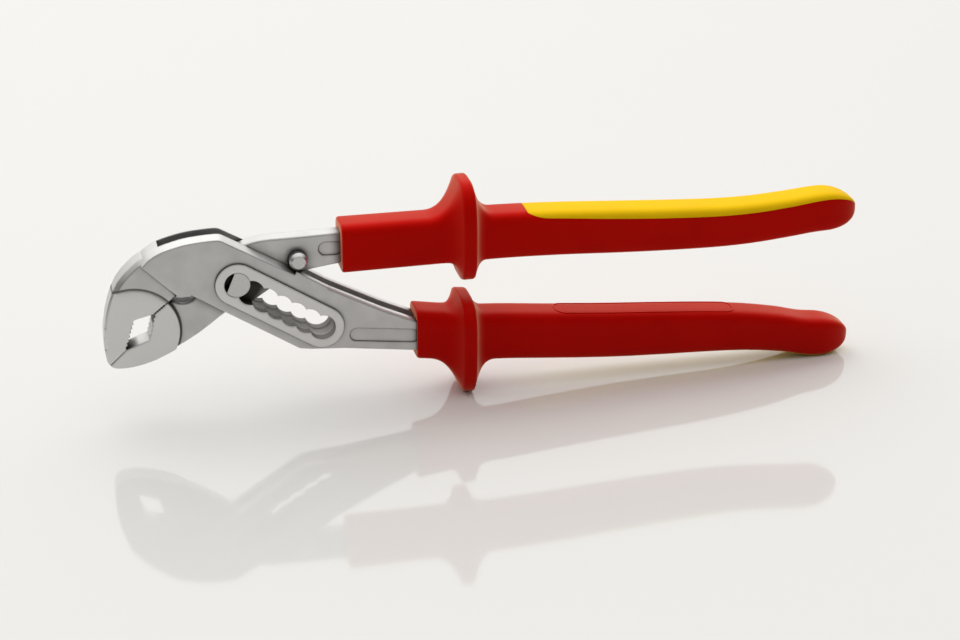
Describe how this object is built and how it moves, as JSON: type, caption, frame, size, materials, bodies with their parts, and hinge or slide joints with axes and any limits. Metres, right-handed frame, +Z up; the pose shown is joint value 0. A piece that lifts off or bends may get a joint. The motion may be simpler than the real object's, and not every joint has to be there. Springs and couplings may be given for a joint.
{
  "type": "tongue and groove pliers",
  "caption": "Insulated box-joint slip pliers with toothed jaws, a scalloped adjustment slot, guards and two-part grips; the handles open the jaws about a pin that moves from seat to seat.",
  "frame": {"origin": "on the ground under the middle of the tool's length, in its middle plane", "axes": "+X along the tool towards the handle ends, +Y through its thickness, +Z up; the tool stands on edge on its lower guard and lower handle end"},
  "size_m": [0.2518, 0.024, 0.0737],
  "materials": {
    "tool_steel": "satin",
    "pin_steel": "ground",
    "grip_red": "smooth moulded",
    "grip_yellow": "soft moulded"
  },
  "bodies": {
    "box": {"box_lever": "tool_steel", "lower_sleeve": "grip_red", "lower_inlay": "grip_yellow"},
    "pin": {"joint_pin": "pin_steel"},
    "slip": {"slip_lever": "tool_steel", "stop_pin": "pin_steel", "upper_sleeve": "grip_red", "upper_inlay": "grip_yellow"}
  },
  "joints": [
    {"name": "setting", "type": "hinge", "parent": "box", "child": "pin", "pos_m": [0.07057, 0, 0.25543], "axis": [0, -1, 0], "range_deg": [0, 7.05]},
    {"name": "opening", "type": "hinge", "parent": "pin", "child": "slip", "pos_m": [-0.08335, 0, 0.04589], "axis": [0, -1, 0], "range_deg": [0, 74]}
  ]
}
